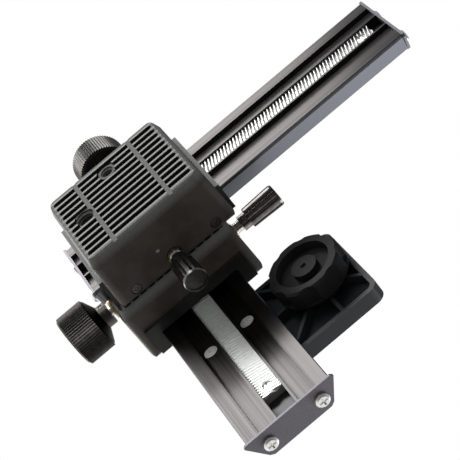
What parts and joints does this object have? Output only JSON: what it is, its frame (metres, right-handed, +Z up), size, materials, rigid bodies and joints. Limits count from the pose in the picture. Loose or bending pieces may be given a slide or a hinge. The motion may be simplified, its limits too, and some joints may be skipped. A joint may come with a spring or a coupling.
{
  "type": "macro focusing rail",
  "caption": "Four-way macro focusing rail: crossed rack-and-pinion slides with a ribbed tripod sole below and a camera plate with a captive screw on top.",
  "frame": {"origin": "centre of the base block's ribbed sole, at the rib tips, where it rests on a tripod head", "axes": "+Z up towards the camera, X along the lower rail with its long end at -X, Y along the upper rail with its long end at -Y"},
  "size_m": [0.1989, 0.1918, 0.0727],
  "materials": {
    "block": "matte black powder coat on die-cast aluminium, rib tips worn to grey",
    "liner": "black moulded acetal",
    "rail": "black anodised extrusion with fine lengthwise lines",
    "rack": "bright zinc plate",
    "end_plate": "satin black anodised",
    "knob": "black anodised, knurled or fluted",
    "bush": "turned",
    "steel": "ground",
    "bright_screw": "bright nickel plate",
    "black_screw": "black oxide",
    "pad": "natural nylon",
    "deck": "black moulded plastic with fine texture",
    "lobe_knob": "satin black moulded plastic",
    "rubber": "matte"
  },
  "bodies": {
    "base": {"base_block": "block", "base_liner": "liner", "base_liner_screws": "black_screw", "base_drag_screw": "bright_screw", "base_pinion_bush": "bush", "base_inner_bush": "bush", "base_lock_insert": "bush", "base_lock_pad": "pad"},
    "base_pinion_shaft": {"base_pinion": "steel", "base_focus_knob": "knob", "base_knob_grub_screw": "black_screw"},
    "base_lock_screw": {"base_lock_knob": "knob", "base_lock_stud": "steel"},
    "lower_carriage": {"lower_rail": "rail", "lower_rack": "rack", "lower_rack_screws": "bright_screw", "lower_outer_end_plate": "end_plate", "lower_inner_end_plate": "end_plate", "lower_end_plate_screws": "bright_screw", "cross_mount_screws": "bright_screw", "cross_block": "block", "cross_liner": "liner", "cross_liner_screws": "black_screw", "cross_drag_screw": "bright_screw", "cross_pinion_bush": "bush", "cross_inner_bush": "bush", "cross_lock_insert": "bush", "cross_lock_pad": "pad"},
    "cross_pinion_shaft": {"cross_pinion": "steel", "cross_focus_knob": "knob", "cross_knob_grub_screw": "black_screw"},
    "cross_lock_screw": {"cross_lock_knob": "knob", "cross_lock_stud": "steel"},
    "upper_carriage": {"upper_rail": "rail", "upper_rack": "rack", "upper_rack_screws": "bright_screw", "upper_front_end_plate": "end_plate", "upper_rear_end_plate": "end_plate", "upper_end_plate_screws": "bright_screw", "camera_plate": "deck", "camera_plate_screws": "bright_screw", "camera_pad": "rubber", "camera_washer": "steel"},
    "camera_screw_knob": {"camera_knob": "lobe_knob", "camera_screw": "steel"}
  },
  "joints": [
    {"name": "lower_slide", "type": "slide", "parent": "base", "child": "lower_carriage", "axis": [1, 0, 0], "range_m": [-0.0032, 0.1015]},
    {"name": "base_focus_turn", "type": "hinge", "parent": "base", "child": "base_pinion_shaft", "pos_m": [0, 0, 0.01503], "axis": [0, 1, 0], "continuous": true},
    {"name": "base_lock_turn", "type": "hinge", "parent": "base", "child": "base_lock_screw", "pos_m": [0, 0, 0.0243], "axis": [0, -1, 0], "range_deg": [0, 180]},
    {"name": "upper_slide", "type": "slide", "parent": "lower_carriage", "child": "upper_carriage", "axis": [0, -1, 0], "range_m": [-0.019, 0.0093]},
    {"name": "cross_focus_turn", "type": "hinge", "parent": "lower_carriage", "child": "cross_pinion_shaft", "pos_m": [0.0049, -0.0013, 0.04453], "axis": [1, 0, 0], "continuous": true},
    {"name": "cross_lock_turn", "type": "hinge", "parent": "lower_carriage", "child": "cross_lock_screw", "pos_m": [0.0049, -0.0013, 0.0538], "axis": [-1, 0, 0], "range_deg": [0, 180]},
    {"name": "camera_screw_turn", "type": "hinge", "parent": "upper_carriage", "child": "camera_screw_knob", "pos_m": [-0.0383, -0.0641, 0.055], "axis": [0, 0, 1], "continuous": true}
  ],
  "couplings": [
    {"joint": "base_focus_turn", "follows": "lower_slide", "rad_per_m": 195.14},
    {"joint": "cross_focus_turn", "follows": "upper_slide", "rad_per_m": 195.14}
  ]
}
